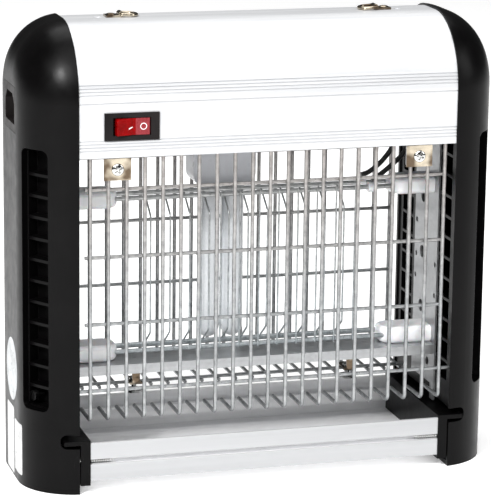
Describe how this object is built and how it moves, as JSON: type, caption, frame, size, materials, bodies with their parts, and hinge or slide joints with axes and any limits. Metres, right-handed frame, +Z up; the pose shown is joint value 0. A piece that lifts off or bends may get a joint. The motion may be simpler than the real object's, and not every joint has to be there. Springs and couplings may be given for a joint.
{
  "type": "electric insect killer",
  "caption": "Free-standing or hanging electric insect killer: aluminium top housing, black end covers, wire guards, high-voltage grid, U lamp and pull-out tray.",
  "frame": {"origin": "on the table, midway between the two end covers and midway between front and rear", "axes": "+X along the length towards the plain end cover, +Y to the rear, +Z up"},
  "size_m": [0.268, 0.0987, 0.2571],
  "materials": {
    "black_abs": "fine satin spark-eroded moulding",
    "profile_aluminium": "satin anodised extrusion",
    "guard_zinc": "bright zinc plated wire",
    "grid_zinc": "bright zinc plated wire",
    "galvanised_sheet": "galvanised, faint spangle",
    "nickel_plate": "bright nickel plate",
    "bright_screw": "bright zinc plate",
    "black_screw": "black oxide",
    "insulator_white": "glossy moulded",
    "lamp_coated_glass": "glass with a white phosphor coat",
    "lamp_base_grey": "pale grey moulding",
    "brass_contact": "bright",
    "copper_winding": "varnished winding",
    "board_green": "solder mask",
    "capacitor_blue": "sleeved",
    "lead_black": "silicone insulation",
    "fitting_black": "glossy moulding",
    "rocker_red": "translucent red moulding"
  },
  "bodies": {
    "root": {"ballast_coil": "copper_winding", "ballast_core": "galvanised_sheet", "bent_wire_grid": "grid_zinc", "capacitors": "capacitor_blue", "chassis_plate": "galvanised_sheet", "circuit_board": "board_green", "cover_screws": "black_screw", "front_guard": "guard_zinc", "guard_clip_brackets": "galvanised_sheet", "guard_clip_screws": "bright_screw", "guard_clips": "nickel_plate", "hang_rivets": "nickel_plate", "high_voltage_leads": "lead_black", "inlet_pins": "brass_contact", "lamp_base": "lamp_base_grey", "lamp_holder": "insulator_white", "lamp_pins": "brass_contact", "lamp_tubes": "lamp_coated_glass", "lead_terminals": "insulator_white", "left_end_cover": "black_abs", "left_hang_bracket": "nickel_plate", "left_inner_panel": "black_abs", "left_lower_insulator": "insulator_white", "left_support_strip": "galvanised_sheet", "left_tray_guide": "black_abs", "left_upper_insulator": "insulator_white", "lower_cross_bar": "galvanised_sheet", "mains_inlet": "fitting_black", "rear_guard": "guard_zinc", "return_clip_screws": "bright_screw", "return_clips": "nickel_plate", "right_end_cover": "black_abs", "right_hang_bracket": "nickel_plate", "right_inner_panel": "black_abs", "right_lower_insulator": "insulator_white", "right_support_strip": "galvanised_sheet", "right_tray_guide": "black_abs", "right_upper_insulator": "insulator_white", "straight_wire_grid": "grid_zinc", "switch_housing": "fitting_black", "switch_terminals": "brass_contact", "terminal_block": "insulator_white", "top_profile": "profile_aluminium", "transformer_coil": "copper_winding", "transformer_core": "galvanised_sheet"},
    "tray": {"tray_channel": "profile_aluminium", "left_tray_end": "black_abs", "right_tray_end": "black_abs", "tray_screws": "bright_screw"},
    "rocker": {"switch_rocker": "rocker_red"},
    "left_ring": {"left_hang_ring": "nickel_plate"},
    "right_ring": {"right_hang_ring": "nickel_plate"}
  },
  "joints": [
    {"name": "tray_slide", "type": "slide", "parent": "root", "child": "tray", "axis": [0, -1, 0], "range_m": [0, 0.088]},
    {"name": "switch_rock", "type": "hinge", "parent": "root", "child": "rocker", "pos_m": [-0.0774, -0.045, 0.2023], "axis": [0, 0, -1], "range_deg": [0, 16]},
    {"name": "left_ring_swing", "type": "hinge", "parent": "root", "child": "left_ring", "pos_m": [-0.0726, 0, 0.2556], "axis": [0, -1, 0], "range_deg": [0, 170]},
    {"name": "right_ring_swing", "type": "hinge", "parent": "root", "child": "right_ring", "pos_m": [0.0726, 0, 0.2556], "axis": [0, 1, 0], "range_deg": [0, 170]}
  ]
}
